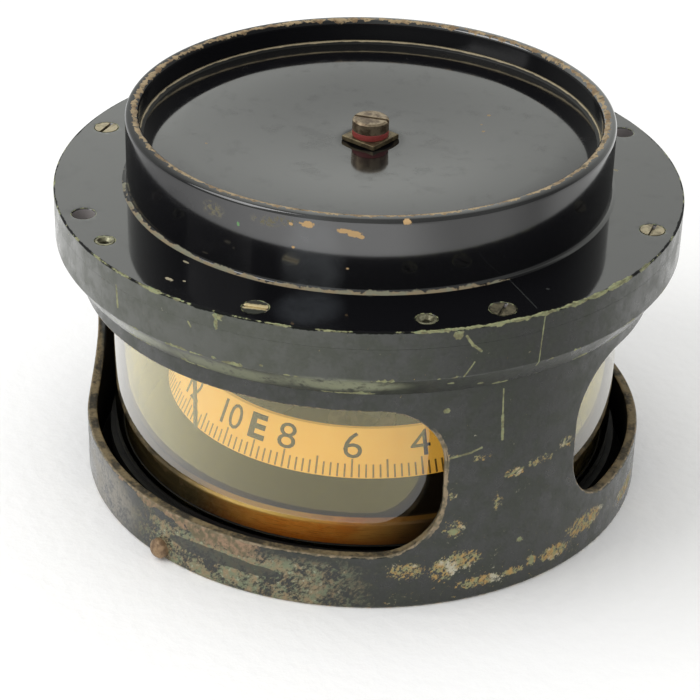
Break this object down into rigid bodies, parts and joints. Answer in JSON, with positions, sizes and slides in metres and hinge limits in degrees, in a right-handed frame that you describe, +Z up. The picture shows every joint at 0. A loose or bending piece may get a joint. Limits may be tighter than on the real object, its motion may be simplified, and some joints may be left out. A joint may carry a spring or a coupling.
{
  "type": "aircraft compass",
  "caption": "Vertical-card aircraft compass: glass bowl in a windowed guard cage, with a flange, a neck with a filler plug, and a card that turns and tilts on a point pivot.",
  "frame": {"origin": "centre of the cage's foot, on the table", "axes": "+Z up along the compass's axis; -Y to the front, where the lubber line and the big window are"},
  "size_m": [0.14, 0.14, 0.0881],
  "materials": {
    "cage_enamel": "satin black enamel over brass, worn and stained",
    "head_enamel": "glossy black enamel over brass, rim worn to the metal",
    "cover_enamel": "glossy black enamel",
    "aged_brass": "dull aged brass",
    "screw_brass": "dull aged brass, slots dark",
    "peg_brass": "brown tarnished brass",
    "red_fibre": "red vulcanised fibre",
    "bowl_glass": "clear glass",
    "gasket_rubber": "dark aged rubber",
    "lacquered_brass": "orange-brown lacquered brass",
    "inner_black": "matt black",
    "pillar_brass": "turned brass",
    "pivot_steel": "hardened steel",
    "jewel": "polished sapphire",
    "card_amber": "amber card with black ticks and numerals",
    "magnet_steel": "blued magnet steel"
  },
  "bodies": {
    "case": {"guard_cage": "cage_enamel", "bowl_head": "head_enamel", "neck_ring": "head_enamel", "cover_plate": "cover_enamel", "filler_boss": "aged_brass", "filler_washer": "red_fibre", "filler_plug": "aged_brass", "flange_screws": "screw_brass", "dowel_bushes": "screw_brass", "index_peg": "peg_brass", "bowl_glass": "bowl_glass", "upper_gasket": "gasket_rubber", "lower_gasket": "gasket_rubber", "lower_ring": "lacquered_brass", "base_gasket": "gasket_rubber", "base_plate": "lacquered_brass", "base_screws": "screw_brass", "baffle_plate": "inner_black", "baffle_ring": "inner_black", "lubber_wire": "inner_black", "pivot_pillar": "pillar_brass", "pillar_washer": "pillar_brass", "pillar_nut": "pillar_brass", "pivot_pin": "pivot_steel"},
    "jewel": {"jewel_cup": "jewel"},
    "holder": {"jewel_holder": "pillar_brass"},
    "card": {"float_dome": "inner_black", "float_floor": "inner_black", "card_spider": "inner_black", "card_ring": "card_amber", "magnet_carrier": "pillar_brass", "magnet_bars": "magnet_steel"}
  },
  "joints": [
    {"name": "card_pitch", "type": "hinge", "parent": "case", "child": "jewel", "pos_m": [0, 0, 0.032], "axis": [1, 0, 0], "range_deg": [-10, 10]},
    {"name": "card_roll", "type": "hinge", "parent": "jewel", "child": "holder", "pos_m": [0, 0, 0.032], "axis": [0, 1, 0], "range_deg": [-10, 10]},
    {"name": "card_turn", "type": "hinge", "parent": "holder", "child": "card", "pos_m": [0, 0, 0.032], "axis": [0, 0, 1], "continuous": true}
  ]
}
